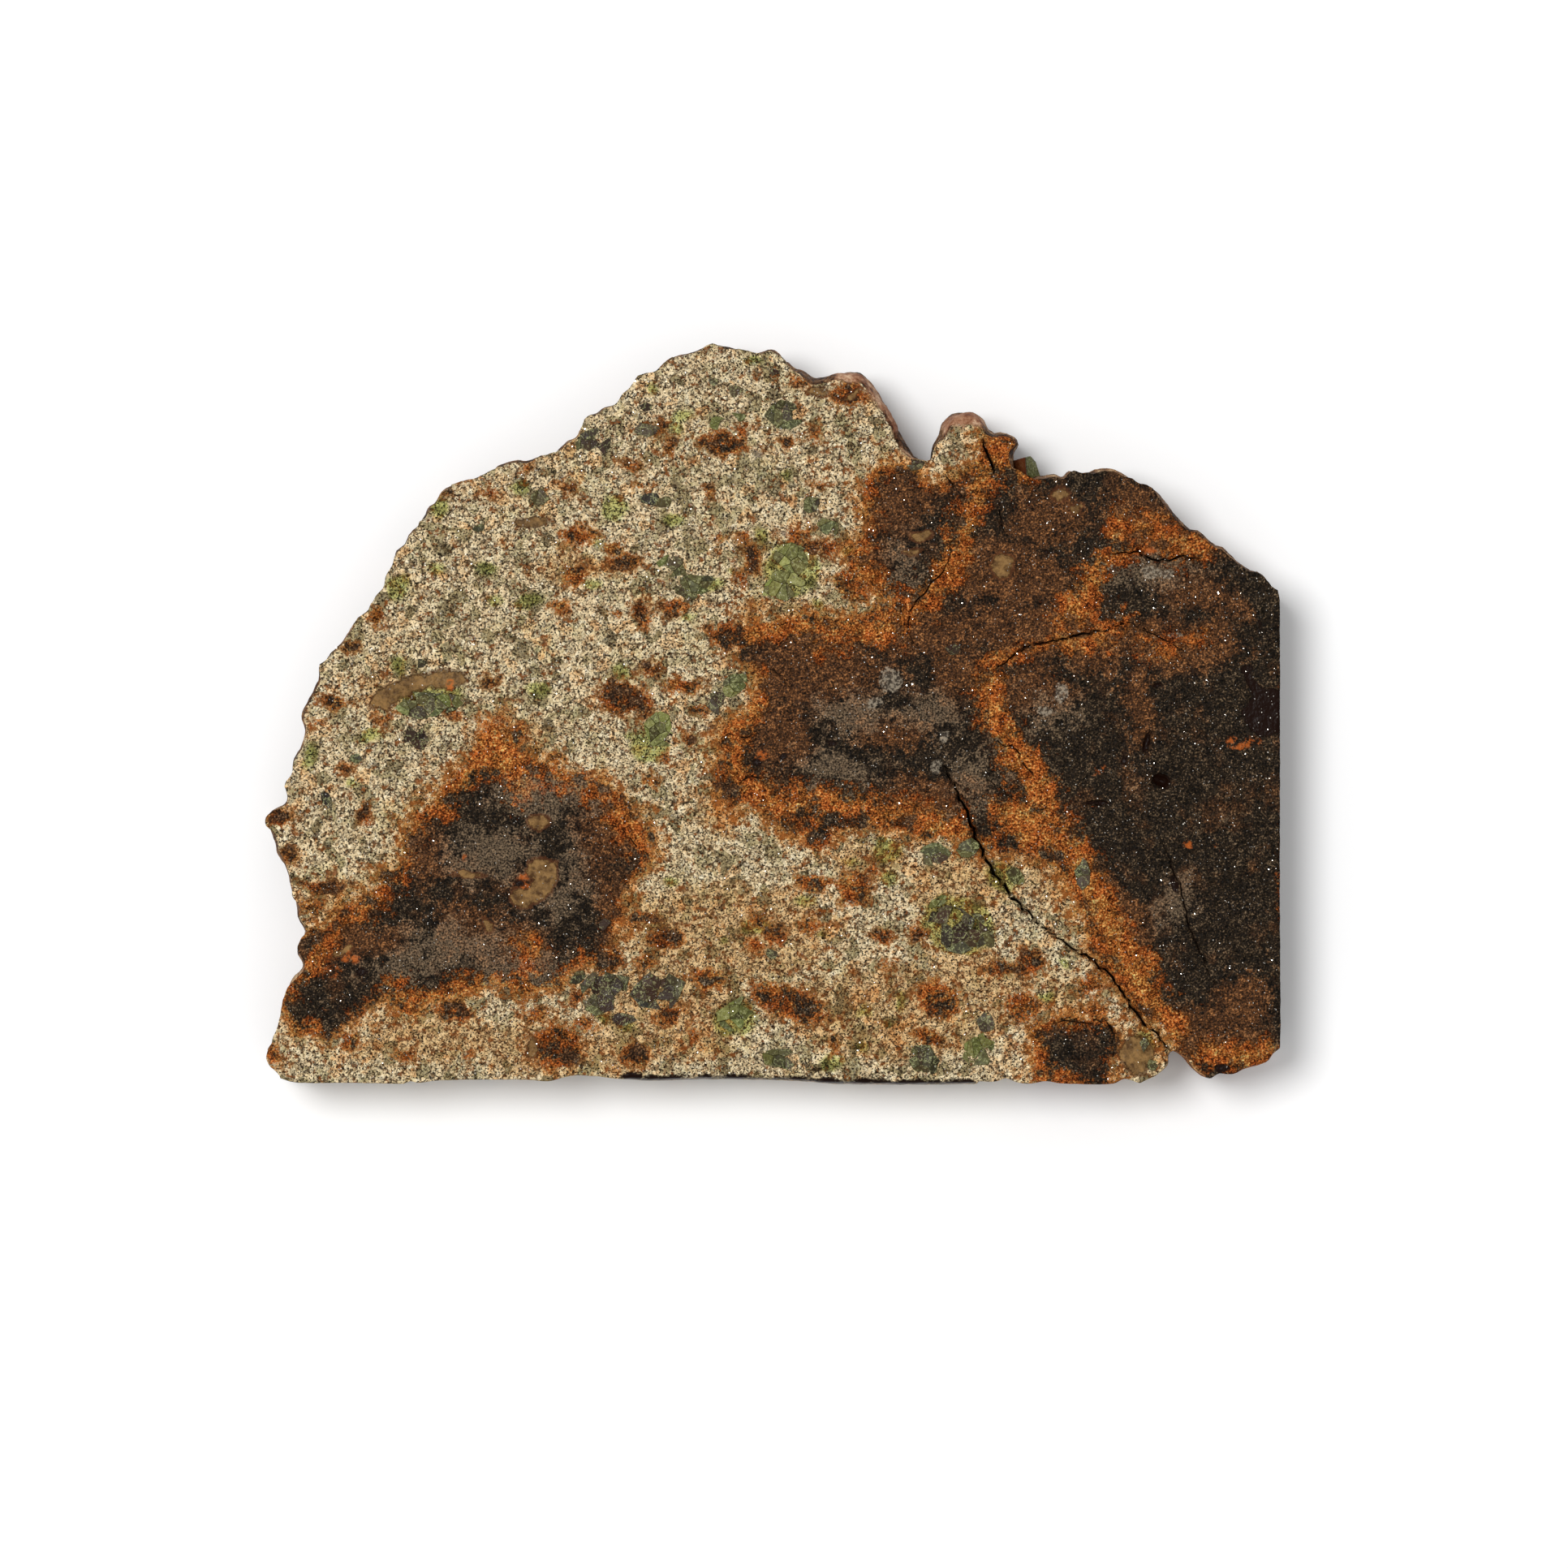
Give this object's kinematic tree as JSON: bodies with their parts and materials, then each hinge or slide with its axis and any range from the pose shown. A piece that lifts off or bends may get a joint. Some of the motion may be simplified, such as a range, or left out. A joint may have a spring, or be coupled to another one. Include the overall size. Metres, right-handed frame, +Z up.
{
  "type": "lodranite meteorite slice",
  "caption": "Flat slice of a coarse stony-iron meteorite, rough-sawn on its faces and straight sides, with the stone's weathered outside left on its curved sides.",
  "frame": {"origin": "below the middle of the slice's box, on the surface that its lower sawn face lies on", "axes": "+Z up through the thickness, +X along the width towards the sawn right side, +Y towards the weathered upper side"},
  "size_m": [0.08, 0.0585, 0.008],
  "materials": {
    "stone": "rough-sawn, matt, speckled beige grains with rusty and dark metallic patches"
  },
  "bodies": {
    "root": {"meteorite_slice": "stone"}
  },
  "joints": []
}
